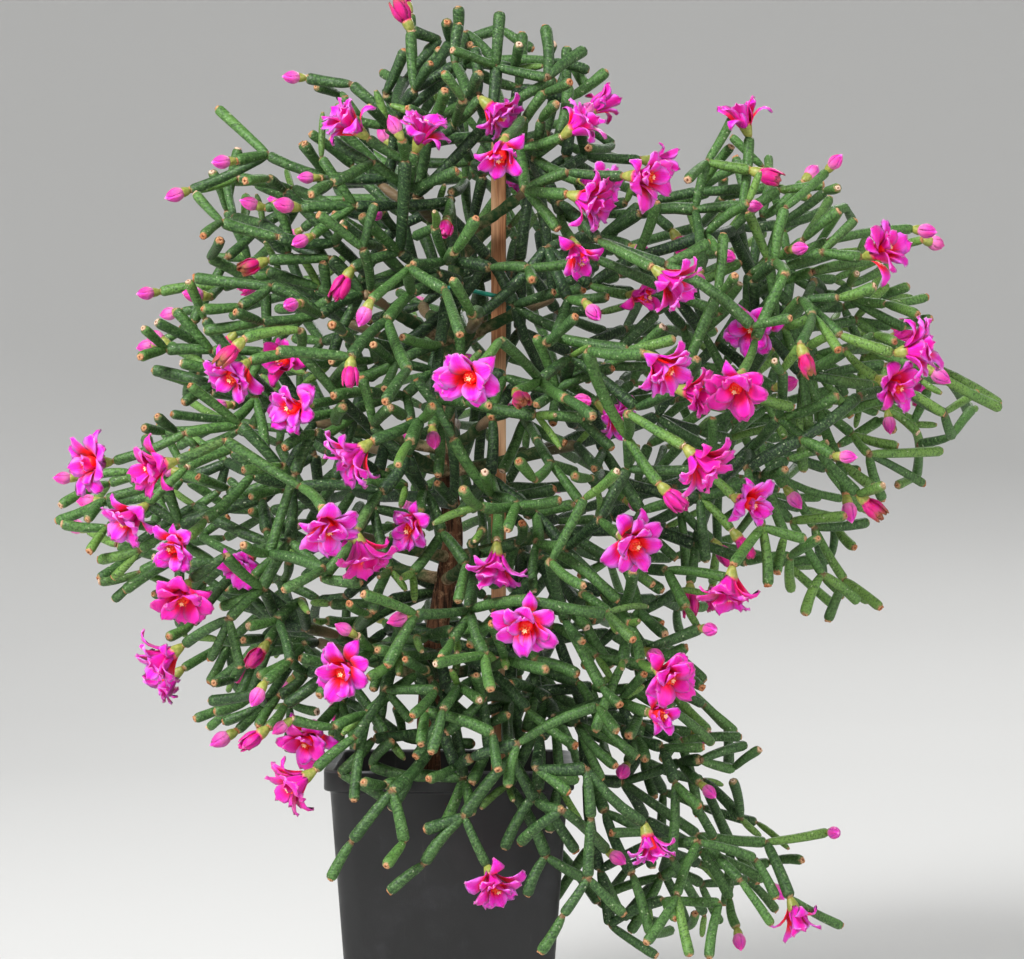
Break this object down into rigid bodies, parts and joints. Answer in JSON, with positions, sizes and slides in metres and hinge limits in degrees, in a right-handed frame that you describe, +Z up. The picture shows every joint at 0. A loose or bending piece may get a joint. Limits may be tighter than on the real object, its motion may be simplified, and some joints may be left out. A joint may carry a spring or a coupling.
{
  "type": "potted hatiora herminiae",
  "caption": "Spineless epiphytic cactus with an umbrella of jointed green stems and pink star-shaped flowers on a woody trunk, tied to a stake in a tapered square pot.",
  "frame": {"origin": "middle of the flat base of the pot", "axes": "+Z up along the trunk, -Y towards the plant's flowering front, +X towards the stem cascade"},
  "size_m": [0.3849, 0.2969, 0.4438],
  "materials": {
    "pot": "satin moulded black plastic",
    "soil": "loose bark and peat potting mix",
    "stake": "bare split wood, weathered",
    "tie": "plastic-covered wire",
    "bark": "fibrous bark with paler twigs",
    "stem": "waxy green skin, finely wrinkled",
    "petal": "silky magenta-pink petals"
  },
  "bodies": {
    "root": {"plant_pot": "pot", "potting_soil": "soil", "plant_stake": "stake", "plant_tie": "tie", "woody_stems": "bark", "stem_spray_01": "stem", "stem_spray_02": "stem", "stem_spray_03": "stem", "stem_spray_04": "stem", "stem_spray_05": "stem", "stem_spray_06": "stem", "stem_spray_07": "stem", "stem_spray_08": "stem", "stem_spray_09": "stem", "stem_spray_10": "stem", "stem_spray_11": "stem", "stem_spray_12": "stem", "stem_spray_13": "stem", "stem_spray_14": "stem", "stem_spray_15": "stem", "stem_spray_16": "stem", "stem_spray_17": "stem", "stem_spray_18": "stem", "stem_spray_19": "stem", "stem_spray_20": "stem", "stem_spray_21": "stem", "stem_spray_22": "stem", "stem_spray_23": "stem", "stem_spray_24": "stem", "stem_spray_25": "stem", "stem_spray_26": "stem", "stem_spray_27": "stem", "bloom_01": "petal", "bloom_02": "petal", "bloom_03": "petal", "bloom_04": "petal", "bloom_05": "petal", "bloom_06": "petal", "bloom_07": "petal", "bloom_08": "petal", "bloom_09": "petal", "bloom_10": "petal", "bloom_11": "petal", "bloom_12": "petal", "bloom_13": "petal", "bloom_14": "petal", "bloom_15": "petal", "bloom_16": "petal", "bloom_17": "petal", "bloom_18": "petal", "bloom_19": "petal", "bloom_20": "petal", "bloom_21": "petal", "bloom_22": "petal", "bloom_23": "petal", "bloom_24": "petal", "bloom_25": "petal"}
  },
  "joints": []
}
